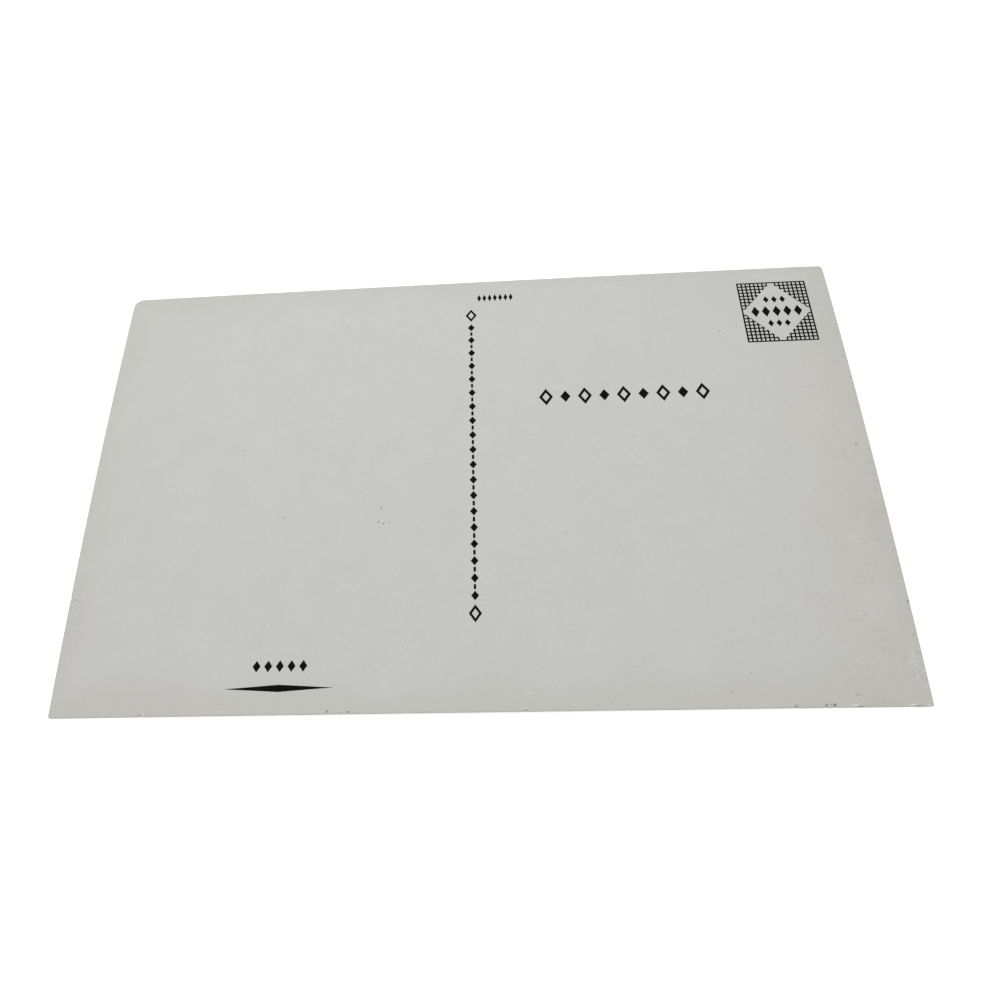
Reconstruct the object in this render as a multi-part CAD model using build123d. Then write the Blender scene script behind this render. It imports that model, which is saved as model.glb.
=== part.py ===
from build123d import *
import os
from math import hypot

# A picture postcard, lying message side up. Millimetres: +X along the card to the right, +Y towards its
# top edge, +Z up. The origin is under the card's middle, level with the two long edges that it rests on.

# Sheet: the standard size, bowed across its short way so that the middle stands off the table
card_length = 139.7
card_width = 88.9
bow_rise = 1.0

# Corners, blunted by handling, the upper two more than the lower two
corner_top_left = 1.9
corner_top_right = 0.9
corner_bottom_left = 0.35
corner_bottom_right = 0.25

# Layers, from the glossy picture side underneath to the message side on top
gloss_varnish_thickness = 0.010
picture_ink_thickness = 0.006
clay_coat_thickness = 0.020
picture_ply_thickness = 0.070
core_ply_thickness = 0.120
message_ply_thickness = 0.074
black_ink_thickness = 0.005

# Stamp box: a ruled lattice of nearly square cells round a lozenge-shaped window
stamp_cell_width = 0.80
stamp_cell_height = 0.82
stamp_line = 0.30
stamp_columns = 16
stamp_rows = 18
stamp_from_right = 4.10
stamp_from_top = 3.80

# Rows of lozenges inside the stamp box's window: a large row between two small ones
window_row_step = 3.0
window_large_width = 1.55
window_large_height = 2.7
window_large_count = 5
window_small_width = 1.10
window_small_height = 1.7
window_small_count = 3
window_spacing = 0.45

# Heading: a row of lozenges, open and solid in turn
heading_from_right = 41.35
heading_from_top = 29.75
heading_count = 9
heading_step = 3.58
heading_open_width = 2.6
heading_open_height = 3.8
heading_solid_width = 1.9
heading_solid_height = 2.6
heading_line = 0.52

# Divider down the middle: lozenges and dashes in turn, with an open lozenge at each end
divider_right_of_middle = 0.45
divider_from_top = 7.4
divider_length = 66.7
divider_count = 19
divider_lozenge_width = 1.35
divider_lozenge_height = 1.75
divider_dash_width = 0.42
divider_dash_height = 0.9
divider_end_width = 2.2
divider_end_height = 3.2
divider_end_line = 0.42

# Short row of small lozenges over the divider, near the top edge
top_row_right_of_middle = 5.25
top_row_from_top = 4.5
top_row_count = 7
top_row_step = 1.05
top_row_lozenge_width = 0.78
top_row_lozenge_height = 1.9

# Caption at lower left: a short row of lozenges over a swelled rule
caption_from_left = 38.1
caption_row_from_bottom = 8.0
caption_rule_from_bottom = 4.3
caption_count = 5
caption_step = 1.95
caption_lozenge_width = 1.35
caption_lozenge_height = 2.0
caption_rule_length = 18.2
caption_rule_height = 1.2

# How far the shapes that trim a layer reach past it
trim_reach = 1.0

# Worked out from the sizes above
layers = {
    "gloss_varnish": gloss_varnish_thickness,
    "picture_ink": picture_ink_thickness,
    "clay_coat": clay_coat_thickness,
    "picture_ply": picture_ply_thickness,
    "core_ply": core_ply_thickness,
    "message_ply": message_ply_thickness,
}
sheet_thickness = sum(layers.values())
half_width = card_width / 2
half_length = card_length / 2
bow_radius = (half_width**2 + bow_rise**2) / (2 * bow_rise)
bow_axis_height = bow_rise - bow_radius
prism_height = bow_rise + sheet_thickness + black_ink_thickness + 2 * trim_reach


def bowed_shell(low, high):
    """The space between two heights above the underside, along the whole bow."""
    length = card_length + 2 * trim_reach
    space = Cylinder(bow_radius + high, length) - Cylinder(bow_radius + low, length)
    return Pos(0, 0, bow_axis_height) * Rot(0, 90, 0) * space


def upright(sketch):
    """A prism of the sketch that passes through the whole sheet."""
    return extrude(Pos(0, 0, -trim_reach) * sketch, prism_height)


def card_outline():
    """The cut outline, with each corner blunted by its own radius."""
    outline = Rectangle(card_length, card_width)
    corners = [
        (corner_top_left, -half_length, half_width),
        (corner_top_right, half_length, half_width),
        (corner_bottom_left, -half_length, -half_width),
        (corner_bottom_right, half_length, -half_width),
    ]
    for radius, x, y in corners:
        corner = outline.vertices().sort_by_distance((x, y, 0))[0]
        outline = fillet(corner, radius)
    return outline


def lozenge(width, height):
    return Polygon((width / 2, 0), (0, height / 2), (-width / 2, 0), (0, -height / 2))


def open_lozenge(width, height, line):
    """A lozenge drawn with a line of even width."""
    middle_to_side = width * height / (2 * hypot(width, height))
    inner = 1 - line / middle_to_side
    return lozenge(width, height) - lozenge(width * inner, height * inner)


def lozenge_row(width, height, count, step):
    """Equal lozenges in a level row about the middle."""
    return [Pos((i - (count - 1) / 2) * step, 0) * lozenge(width, height) for i in range(count)]


def ruled_lines(count, step, width, height):
    """Equal bars between neighbouring cells, in a row along X, with none through the middle."""
    places = [(i - count / 2) * step for i in range(1, count)]
    return [Pos(x, 0) * Rectangle(width, height) for x in places if x != 0]


def stamp_box_marks():
    """Outer frame, a lattice that runs up to the window's four sides and the rows in the window."""
    width = stamp_columns * stamp_cell_width
    height = stamp_rows * stamp_cell_height
    frame = Rectangle(width + stamp_line, height + stamp_line)
    frame -= Rectangle(width - stamp_line, height - stamp_line)
    upright_lines = ruled_lines(stamp_columns, stamp_cell_width, stamp_line, height)
    level_lines = ruled_lines(stamp_rows, stamp_cell_height, stamp_line, width)
    lattice = Sketch() + upright_lines + [Rot(0, 0, 90) * line for line in level_lines]
    lattice -= lozenge(width, height)
    small_row = lozenge_row(
        window_small_width, window_small_height, window_small_count, window_small_width + window_spacing
    )
    large_row = lozenge_row(
        window_large_width, window_large_height, window_large_count, window_large_width + window_spacing
    )
    marks = frame + lattice + large_row
    marks += [Pos(0, window_row_step) * mark for mark in small_row]
    marks += [Pos(0, -window_row_step) * mark for mark in small_row]
    x = half_length - stamp_from_right - (width + stamp_line) / 2
    y = half_width - stamp_from_top - (height + stamp_line) / 2
    return Pos(x, y) * marks


def heading_marks():
    marks = []
    for i in range(heading_count):
        if i % 2 == 0:
            mark = open_lozenge(heading_open_width, heading_open_height, heading_line)
        else:
            mark = lozenge(heading_solid_width, heading_solid_height)
        marks.append(Pos((i - (heading_count - 1) / 2) * heading_step, 0) * mark)
    return Pos(half_length - heading_from_right, half_width - heading_from_top) * (Sketch() + marks)


def divider_marks():
    end = open_lozenge(divider_end_width, divider_end_height, divider_end_line)
    end_y = (divider_length - divider_end_height) / 2
    step = 2 * end_y / (divider_count + 1)
    marks = [Pos(0, end_y) * end, Pos(0, -end_y) * end]
    for i in range(divider_count):
        y = end_y - (i + 1) * step
        marks.append(Pos(0, y) * lozenge(divider_lozenge_width, divider_lozenge_height))
        if i > 0:
            marks.append(Pos(0, y + step / 2) * Rectangle(divider_dash_width, divider_dash_height))
    middle_y = half_width - divider_from_top - divider_length / 2
    return Pos(divider_right_of_middle, middle_y) * (Sketch() + marks)


def top_row_marks():
    row = lozenge_row(top_row_lozenge_width, top_row_lozenge_height, top_row_count, top_row_step)
    return Pos(top_row_right_of_middle, half_width - top_row_from_top) * (Sketch() + row)


def caption_marks():
    row = lozenge_row(caption_lozenge_width, caption_lozenge_height, caption_count, caption_step)
    marks = [Pos(0, caption_row_from_bottom - half_width) * mark for mark in row]
    rule = lozenge(caption_rule_length, caption_rule_height)
    marks.append(Pos(0, caption_rule_from_bottom - half_width) * rule)
    return Pos(caption_from_left - half_length, 0) * (Sketch() + marks)


# The bonded layers, each trimmed by the same cut outline
sheet_prism = upright(card_outline())
pieces = {}
height = 0
for name, thickness in layers.items():
    pieces[name] = sheet_prism & bowed_shell(height, height + thickness)
    height += thickness

# The black ink lies on the message side and follows its bow
ink_film = bowed_shell(sheet_thickness, sheet_thickness + black_ink_thickness)
prints = {
    "stamp_box_print": stamp_box_marks(),
    "heading_print": heading_marks(),
    "divider_print": divider_marks(),
    "top_row_print": top_row_marks(),
    "caption_print": caption_marks(),
}
for name, marks in prints.items():
    pieces[name] = upright(marks) & ink_film

os.makedirs("parts", exist_ok=True)
for name, piece in pieces.items():
    export_step(piece, f"parts/{name}.step")
    print(name, len(piece.solids()), "solids", round(piece.volume, 4), "mm3")
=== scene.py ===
"""Looks of a used picture postcard: bonded layers, black prints, a glossy picture and a plain stage."""

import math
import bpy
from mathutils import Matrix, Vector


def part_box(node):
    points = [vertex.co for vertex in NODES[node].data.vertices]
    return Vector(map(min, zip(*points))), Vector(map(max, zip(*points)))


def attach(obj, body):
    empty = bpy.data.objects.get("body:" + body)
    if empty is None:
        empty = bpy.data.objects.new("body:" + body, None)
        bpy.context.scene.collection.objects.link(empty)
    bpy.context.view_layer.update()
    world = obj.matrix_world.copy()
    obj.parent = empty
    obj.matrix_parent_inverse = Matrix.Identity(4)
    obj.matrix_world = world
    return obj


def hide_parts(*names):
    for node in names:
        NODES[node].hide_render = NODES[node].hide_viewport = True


bl_info = {
    "name": "Used Picture Postcard",
    "version": (1, 0, 0),
    "blender": (4, 5, 0),
    "location": "View3D > Sidebar > Postcard",
    "description": "Dresses a postcard's construction frame with worn layers, prints and a studio stage",
    "category": "Add Mesh",
}

from collections import namedtuple

import bpy
from bpy.props import FloatProperty, FloatVectorProperty, PointerProperty
from mathutils import Matrix, Vector, geometry, noise

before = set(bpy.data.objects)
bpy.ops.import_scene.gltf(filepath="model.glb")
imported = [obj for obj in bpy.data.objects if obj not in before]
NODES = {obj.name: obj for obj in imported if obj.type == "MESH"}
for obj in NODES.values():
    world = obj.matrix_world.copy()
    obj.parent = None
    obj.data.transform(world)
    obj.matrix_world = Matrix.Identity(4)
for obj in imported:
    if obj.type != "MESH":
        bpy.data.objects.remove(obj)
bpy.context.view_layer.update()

# Flat shapes are worked out in millimetres and scaled to metres when a mesh is made
MM = 0.001
BODY = "root"
HALF_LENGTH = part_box("message_ply")[1].x / MM
HALF_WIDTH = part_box("message_ply")[1].y / MM

PRINTS = ("stamp_box_print", "heading_print", "divider_print", "top_row_print", "caption_print")

# Wear along the cut edges, in millimetres from the card's middle
Nick = namedtuple("Nick", "x y width depth")
NICKS = (
    Nick(-54.4, -HALF_WIDTH, 0.6, 0.30),
    Nick(-23.5, -HALF_WIDTH, 0.5, 0.18),
    Nick(-20.0, -HALF_WIDTH, 0.5, 0.14),
    Nick(8.1, -HALF_WIDTH, 0.9, 0.14),
    Nick(49.5, -HALF_WIDTH, 0.7, 0.18),
    Nick(54.0, -HALF_WIDTH, 0.5, 0.35),
    Nick(55.2, -HALF_WIDTH, 0.7, 0.25),
    Nick(-HALF_LENGTH, -23.5, 0.6, 0.20),
)
Flap = namedtuple("Flap", "x y length reach lift")
FLAPS = (
    Flap(58.9, -HALF_WIDTH, 2.0, 0.8, 0.12),
    Flap(67.7, -HALF_WIDTH, 2.2, 0.8, 0.14),
)

# Small marks on the message side: place and size in millimetres, lean in degrees, share of full colour
Mark = namedtuple("Mark", "x y long wide lean share")
DARK_MARKS = (
    # Dark marks at the nicks, here and on the left edge, are dirt and also painted shade in the nicks' gaps
    Mark(-54.4, -44.15, 0.80, 0.24, 55, 0.90),
    Mark(-23.5, -44.00, 0.90, 0.28, 60, 1.00),
    Mark(-21.5, -44.25, 0.45, 0.20, 10, 0.45),
    Mark(-20.0, -44.15, 0.60, 0.32, 0, 1.00),
    Mark(-18.4, -44.25, 0.40, 0.20, 0, 0.45),
    Mark(8.1, -44.25, 0.95, 0.18, 172, 0.75),
    Mark(15.6, -42.3, 0.40, 0.25, 0, 0.35),
    Mark(18.2, -44.30, 0.50, 0.20, 20, 0.50),
    Mark(19.4, -43.7, 0.32, 0.26, 0, 0.55),
    Mark(21.6, -43.2, 0.45, 0.25, 30, 0.35),
    Mark(49.5, -44.30, 1.00, 0.22, 10, 0.70),
    Mark(53.9, -44.10, 0.80, 0.30, 100, 0.90),
    Mark(54.7, -43.95, 0.55, 0.30, 20, 0.80),
    Mark(55.2, -44.15, 0.85, 0.60, 80, 0.90),
    # These two thin lines along the lifted flaps' lower edge are painted shadow under the flaps
    Mark(58.9, -44.36, 1.70, 0.16, 1, 0.85),
    Mark(67.5, -44.38, 1.50, 0.12, 2, 0.80),
    Mark(-68.8, -23.9, 1.90, 0.22, 170, 0.25),
    Mark(-15.9, -7.75, 0.60, 0.32, 60, 1.00),
    Mark(-16.3, -8.35, 0.36, 0.26, 40, 0.60),
    Mark(-16.3, -10.55, 0.62, 0.32, 20, 1.00),
    Mark(-15.4, -10.9, 0.62, 0.32, 25, 1.00),
    Mark(-14.5, -10.7, 0.50, 0.28, 50, 0.75),
    Mark(-16.0, -11.7, 0.42, 0.30, 60, 0.65),
    Mark(-19.4, -4.35, 0.46, 0.30, 80, 0.75),
    Mark(-20.3, -32.3, 0.28, 0.22, 0, 0.60),
    Mark(-21.7, -30.8, 0.85, 0.46, 165, 0.28),
    Mark(-11.5, -33.6, 0.36, 0.28, 60, 0.35),
    Mark(-33.4, -9.1, 0.42, 0.32, 60, 0.85),
    Mark(-61.0, -7.4, 0.36, 0.30, 0, 0.60),
    Mark(-42.3, 5.4, 1.40, 0.28, 0, 0.25),
    Mark(-21.5, 2.3, 0.80, 0.60, 60, 0.20),
    Mark(-11.0, -0.3, 0.60, 0.26, 165, 0.25),
    Mark(4.5, 7.5, 0.36, 0.30, 0, 0.45),
    Mark(13.9, -11.6, 0.40, 0.28, 0, 0.25),
    Mark(16.3, -13.5, 0.55, 0.24, 75, 0.28),
    Mark(20.5, -17.6, 0.34, 0.28, 60, 0.30),
    Mark(29.3, 5.4, 0.42, 0.34, 70, 0.55),
    Mark(28.0, 33.9, 0.70, 0.50, 0, 0.25),
    Mark(38.6, 35.4, 0.42, 0.34, 20, 0.45),
    Mark(47.8, 28.8, 0.60, 0.36, 165, 0.75),
    Mark(51.2, 30.0, 0.42, 0.30, 20, 0.50),
    Mark(51.9, -17.9, 1.00, 0.34, 80, 0.30),
    Mark(43.5, -38.9, 0.36, 0.30, 0, 0.50),
    Mark(23.1, 16.7, 0.30, 0.22, 20, 0.60),
    Mark(40.0, -41.8, 0.36, 0.26, 0, 0.75),
    Mark(67.5, 2.2, 0.50, 0.30, 120, 0.85),
    Mark(69.6, -27.5, 0.60, 0.34, 75, 0.85),
    Mark(66.0, -21.6, 0.50, 0.25, 150, 0.55),
    Mark(65.0, -20.9, 0.70, 0.30, 30, 0.25),
    Mark(62.4, -29.7, 0.55, 0.30, 20, 0.35),
    Mark(61.1, -25.3, 0.40, 0.25, 0, 0.40),
    Mark(52.7, -22.6, 0.80, 0.40, 15, 0.18),
    Mark(69.2, -33.2, 0.60, 0.30, 60, 0.45),
    Mark(51.5, -39.6, 0.80, 0.25, 65, 0.20),
    Mark(54.9, -40.5, 0.45, 0.25, 20, 0.30),
    Mark(51.1, -41.3, 0.35, 0.25, 0, 0.30),
    Mark(58.9, -42.6, 0.70, 0.30, 50, 0.40),
    Mark(61.9, -42.2, 0.50, 0.25, 100, 0.35),
    Mark(62.8, -43.3, 0.60, 0.20, 0, 0.30),
    Mark(69.1, -40.0, 0.40, 0.25, 60, 0.40),
)
LIGHT_MARKS = (
    Mark(-53.8, -44.15, 0.70, 0.22, 125, 0.80),
    Mark(-15.5, -10.4, 0.80, 0.24, 25, 0.50),
    Mark(-16.2, -11.1, 0.70, 0.20, 25, 0.45),
    Mark(-19.3, -3.7, 0.90, 0.20, 0, 0.30),
    Mark(-21.4, 1.3, 0.80, 0.30, 0, 0.45),
    Mark(-19.9, 0.3, 1.00, 0.24, 175, 0.45),
    Mark(-11.6, -0.1, 0.80, 0.26, 0, 0.45),
    Mark(-66.6, 30.0, 1.20, 0.30, 135, 0.60),
    Mark(-42.2, 41.6, 0.40, 0.34, 0, 0.80),
    Mark(-31.8, 31.3, 2.00, 0.34, 125, 0.35),
    Mark(-42.7, -1.3, 0.46, 0.36, 0, 0.60),
    Mark(-45.0, -18.3, 0.80, 0.30, 150, 0.60),
    Mark(-24.5, -27.4, 0.46, 0.34, 0, 0.50),
    Mark(-23.8, -31.1, 0.50, 0.30, 0, 0.45),
    Mark(-21.3, -30.4, 0.60, 0.32, 15, 0.60),
    Mark(-20.4, -30.3, 0.34, 0.28, 0, 0.60),
    Mark(-33.8, -8.3, 0.46, 0.36, 0, 0.70),
    Mark(-31.0, -7.5, 0.46, 0.36, 0, 0.55),
    Mark(14.5, -11.9, 0.40, 0.34, 0, 0.65),
    Mark(14.2, -13.8, 0.46, 0.36, 0, 0.45),
    Mark(15.4, -13.2, 0.40, 0.32, 0, 0.60),
    Mark(15.8, -14.5, 0.46, 0.34, 60, 0.60),
    Mark(37.7, 4.2, 0.36, 0.32, 0, 0.80),
    Mark(41.2, 4.8, 0.90, 0.36, 85, 0.45),
    Mark(37.9, -26.5, 1.30, 0.28, 82, 0.60),
    Mark(-68.7, -23.4, 0.80, 0.35, 170, 0.45),
    Mark(8.0, -43.95, 1.10, 0.22, 5, 0.60),
    Mark(8.4, -41.6, 3.20, 0.80, 3, 0.22),
    Mark(15.6, -42.7, 0.30, 0.20, 0, 0.60),
    Mark(49.1, 28.0, 0.90, 0.34, 15, 0.55),
    Mark(57.0, -25.5, 1.30, 0.20, 75, 0.35),
    Mark(58.3, -44.22, 1.70, 0.18, 1, 0.80),
    Mark(59.0, -28.8, 0.40, 0.30, 0, 0.50),
    Mark(61.0, -32.0, 0.90, 0.22, 75, 0.35),
    Mark(63.2, -33.3, 0.80, 0.20, 85, 0.30),
    Mark(54.2, -38.7, 0.60, 0.25, 0, 0.40),
    Mark(64.4, -36.3, 0.30, 0.20, 0, 0.40),
    Mark(66.3, -36.5, 0.45, 0.25, 30, 0.50),
    Mark(66.9, -44.22, 2.00, 0.18, 2, 0.80),
    Mark(68.2, -33.0, 0.50, 0.25, 0, 0.35),
    Mark(68.5, -36.8, 0.60, 0.25, 40, 0.50),
    Mark(68.8, -8.7, 1.60, 0.30, 15, 0.40),
    Mark(69.2, -44.20, 0.90, 0.24, 20, 0.70),
    Mark(69.2, -41.5, 0.80, 0.30, 70, 0.70),
)
PINK_MARKS = (
    Mark(63.4, -43.9, 9.00, 1.30, 0, 0.45),
    Mark(68.0, -11.9, 9.00, 4.60, 80, 0.50),
    Mark(67.6, -43.0, 4.00, 2.60, 20, 0.18),
    Mark(-58.0, -43.0, 44.00, 12.00, 0, 0.20),
    Mark(-69.0, -32.0, 30.00, 9.00, 90, 0.20),
    Mark(45.0, -43.0, 36.00, 10.00, 0, 0.07),
)
RUBBED_MARKS = (
    Mark(66.9, 2.4, 5.00, 4.00, 20, 1.00),
    Mark(66.6, -3.6, 4.00, 2.00, 80, 0.80),
    Mark(68.4, -9.2, 4.00, 2.00, 10, 1.00),
    Mark(65.2, -12.2, 4.00, 2.40, 130, 1.00),
    Mark(63.2, -15.8, 4.00, 2.40, 140, 1.00),
    Mark(69.3, -18.2, 4.00, 1.20, 80, 0.90),
    Mark(54.8, -26.8, 2.60, 2.00, 60, 0.80),
    Mark(60.2, -36.0, 5.00, 5.00, 0, 0.80),
    Mark(68.6, -37.5, 7.00, 3.00, 80, 1.00),
    Mark(58.8, -42.9, 4.00, 1.80, 10, 1.00),
    Mark(52.0, -40.5, 4.00, 2.50, 0, 0.70),
    Mark(68.8, 22.0, 6.00, 2.40, 80, 0.70),
)
MARKS = {
    "dark_marks": DARK_MARKS,
    "light_marks": LIGHT_MARKS,
    "pink_marks": PINK_MARKS,
    "rubbed_marks": RUBBED_MARKS,
}

# Share of a mark's radius over which its rim fades out, and how many points outline it
SOFT_RIM = 0.65
MARK_SIDES = 10

# Layers that show only along the cut: the setting of their colour, the noise slice of their rough cut, the
# share of the nicks that reaches them, and the size of their fibres in millimetres
Layer = namedtuple("Layer", "name node slot colour cut_slice nick_share fibre")
INNER_LAYERS = (
    Layer("fibre_core", "core_ply", "core_board", "core", 2.0, 0.55, 0.30),
    Layer("picture_backing", "picture_ply", "picture_board", "picture_board", 3.0, 0.30, 0.35),
    Layer("mineral_coat", "clay_coat", "coating_white", "coating", 4.0, 0.22, 0.12),
)

# Points of the layers' meshes: steps round a corner, then millimetres from the cut to two rings of points,
# to the even grid and to the nearest points of marks
FEWEST_CORNER_STEPS = 6
NEAR_RING = 0.06
FAR_RING = 0.55
FAR_RING_SKIP = 3
GRID_MARGIN = 1.5
MARK_CLEARANCE = 0.12

# Noise that moves edges and heights: waves to a millimetre, slices of noise, shares and reach in millimetres
SLOW_CUT_WAVES = 1.1
SLOW_CUT_SHARE = 0.6
QUICK_CUT_WAVES = 5.3
QUICK_CUT_SHARE = 0.4
QUICK_CUT_SLICE = 20
FRAY_WAVES = 3.1
FRAY_SLICE = 8.2
FRAY_REACH = 3.5
SWELL_WAVES = 1 / 38
SWELL_SLICE = 3.7
INK_WAVES = 4.3
INK_SLICES = (1.5, 9.5)

# Meshes: least upward part of an upper face's normal, millimetres within which points are one, and the angle
# between faces from which their edge looks sharp
UPPER_FACE = 0.9
SAME_POINT = 1e-5
SHARP_ANGLE = math.radians(35)

# Where use begins to show on the message side and where it is full: millimetres right of the card's middle,
# or above it for the soil at the top
LEFT_TONING = (-42, -69)
HELD_END = (33, 90)
THUMBED_END = (47, 62)
RUBBED_END = (52, 70)
SOILED_TOP = (8, 32)

# The toned band is moved by this, so that it reaches further in from the right and lower edges
TONING_LEAN = (1.0 * MM, -1.2 * MM, 0.0)
# A second use of a texture is moved by this, so that it doesn't repeat the first
ASIDE = (37.0 * MM, 11.0 * MM, 0.0)

# How strongly use shows: dulling by hands, handling of the edges against the right end, fibres rubbed open
# there and all over, and dirt ground in
HELD_SHARE = 0.386
EDGE_HANDLING = 0.45
RUBBED_SHARE = 0.33
RUBBED_ALL_OVER = 0.02
GROUND_IN_SHARE = 0.19

# Landscape on the picture side, in millimetres: levels above the card's middle, and ridges from far to near
Ridge = namedtuple("Ridge", "name level swing size seed tree_height tree_size")
RIDGES = (
    Ridge("Far Hills", 11.0, 30.0, 34.0, 2.0, 0.0, 1.6),
    Ridge("Near Hills", 3.0, 26.0, 27.0, 5.0, 0.8, 1.6),
    Ridge("Pines", -5.5, 10.0, 16.0, 9.0, 5.2, 1.6),
)
MEADOW = Ridge("Meadow", -26.5, 14.0, 45.0, 14.0, 1.6, 0.5)
RIDGE_LINE = (0.12, -0.12)
SKY_SPAN = (6, 46)
CLOUD_SPAN = (8, 22)
SHORE = -8.5
SHORE_LINE = (SHORE + 0.1, SHORE - 0.1)
LAKE_SPAN = (SHORE, -34)
MEADOW_SPAN = (-22, -44)
DOT_PITCH = 0.19

# Values between which most noise lies, and its middle
MOST_NOISE = (0.3, 0.7)
MIDDLE_NOISE = 0.5

# Camera: sensor in millimetres, and nearest distance that it sees in metres
SENSOR_WIDTH = 36.0
CLIP_START = 0.01


def bow_axis():
    """Height of the axis that all layers are bowed about, from two points of the message side."""
    points = [vertex.co / MM for vertex in NODES["message_ply"].data.vertices]
    crown = max(points, key=lambda point: point.z)
    edge = max(points, key=lambda point: (round(point.y, 3), point.z))
    squares = crown.y**2 + crown.z**2 - edge.y**2 - edge.z**2
    return squares / (2 * (crown.z - edge.z))


BOW_AXIS = bow_axis()


def layer_radii(node):
    """Distances of a layer's lower and upper side from the axis of the bow."""
    points = [vertex.co / MM for vertex in NODES[node].data.vertices]
    radii = [math.hypot(point.y, point.z - BOW_AXIS) for point in points]
    return min(radii), max(radii)


def number(name, value, description, **limits):
    return FloatProperty(name=name, description=description, default=value, **limits)


def length(name, millimetres, description):
    return number(name, millimetres * MM, description, min=0, precision=6, unit="LENGTH")


def angle(name, degrees, description):
    return number(name, math.radians(degrees), description, subtype="ANGLE")


def colour(name, red_green_blue, description):
    return FloatVectorProperty(
        name=name, description=description, default=red_green_blue, min=0, max=1, size=3, subtype="COLOR"
    )


def position(name, metres, description):
    return FloatVectorProperty(
        name=name,
        description=description,
        default=metres,
        size=3,
        precision=6,
        subtype="TRANSLATION",
        unit="LENGTH",
    )


class PostcardSheet(bpy.types.PropertyGroup):
    """Sizes and colours of the board's layers."""

    corner_top_left: length("Top left corner", 1.9, "Radius that handling has given the corner")
    corner_top_right: length("Top right corner", 0.9, "Radius that handling has given the corner")
    corner_bottom_left: length("Bottom left corner", 0.35, "Radius that handling has given the corner")
    corner_bottom_right: length("Bottom right corner", 0.25, "Radius that handling has given the corner")
    edge_step: length("Edge step", 0.22, "Distance between points along the cut edge")
    grid_step: length("Grid step", 2.4, "Distance between points inside the sheet")
    cut_roughness: length("Cut roughness", 0.010, "How far fibres make the cut edge wander")
    corner_fray: length("Corner fray", 0.08, "How far the upper corners' plies are frayed")
    rim_drop: length("Rim drop", 0.010, "How far handling has pressed down the message side's rim")
    long_arch: length("Long arch", 0.30, "How far the middle of the long edges stands off the table")
    wave: length("Wave", 0.05, "Height of the sheet's slow waves")
    paper: colour("Paper", (0.590, 0.592, 0.577), "Message side away from the edges")
    toned_paper: colour("Toned paper", (0.548, 0.545, 0.503), "Message side where air has toned its edges")
    dulled_paper: colour("Dulled paper", (0.500, 0.499, 0.484), "Message side where hands begin to reach")
    thumbed_paper: colour("Thumbed paper", (0.533, 0.488, 0.412), "Right end, where hands held the card")
    soiled_paper: colour("Soiled paper", (0.490, 0.485, 0.438), "Upper part of the right end, soiled grey")
    pink_stain: colour("Pink stain", (0.560, 0.490, 0.480), "Faint stains along the ends and the lower edge")
    # This colour also paints shade into the nicks and a shadow under the lifted flaps
    grime_and_shade: colour("Grime", (0.165, 0.145, 0.140), "Dirt rubbed into edges and nicks")
    scuff: colour("Scuff", (0.760, 0.755, 0.730), "Raised fibres where the surface is rubbed open")
    # The plies along the cut have pale colours that also hold painted light, standing in for a lamp in front
    # of the cut edge
    core: colour("Core", (0.700, 0.690, 0.650), "Middle ply at the cut edge")
    picture_board: colour("Picture board", (0.720, 0.710, 0.680), "Ply on the picture side")
    coating: colour("Coating", (0.780, 0.780, 0.760), "Mineral coat under the picture")


class PostcardInk(bpy.types.PropertyGroup):
    """Sizes and colours of the black prints."""

    edge_step: length("Edge step", 0.09, "Distance between points along a mark's outline")
    squeeze: length("Squeeze", 0.016, "How far pressed ink wanders over a mark's outline")
    ink: colour("Ink", (0.0010, 0.0010, 0.0011), "Black ink where it is full")
    thin_ink: colour("Thin ink", (0.0042, 0.0041, 0.0040), "Black ink where the paper starts to show")
    pinhole: colour("Pinhole", (0.42, 0.42, 0.41), "Paper in the smallest gaps of the ink")


class PostcardPicture(bpy.types.PropertyGroup):
    """Colours of the glossy side and its landscape."""

    high_sky: colour("High sky", (0.055, 0.200, 0.520), "Sky at the top edge")
    low_sky: colour("Low sky", (0.560, 0.700, 0.800), "Sky over the hills")
    cloud: colour("Cloud", (0.850, 0.850, 0.820), "Fair-weather cloud")
    far_hills: colour("Far hills", (0.170, 0.270, 0.400), "Most distant ridge")
    near_hills: colour("Near hills", (0.070, 0.150, 0.120), "Wooded ridge")
    pines: colour("Pines", (0.012, 0.040, 0.020), "Trees on the far shore")
    water: colour("Water", (0.030, 0.130, 0.210), "Lake where it reflects little")
    grass: colour("Grass", (0.110, 0.230, 0.030), "Meadow in the foreground")
    straw: colour("Straw", (0.480, 0.380, 0.090), "Dry stalks in the meadow")
    blossom: colour("Blossom", (0.640, 0.060, 0.040), "Flowers in the meadow")
    bare_coat: colour("Bare coat", (0.80, 0.79, 0.75), "Mineral coat between the printed dots")
    worn_rim: colour("Worn rim", (0.66, 0.65, 0.62), "Board where the print is worn off along the cut")


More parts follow.
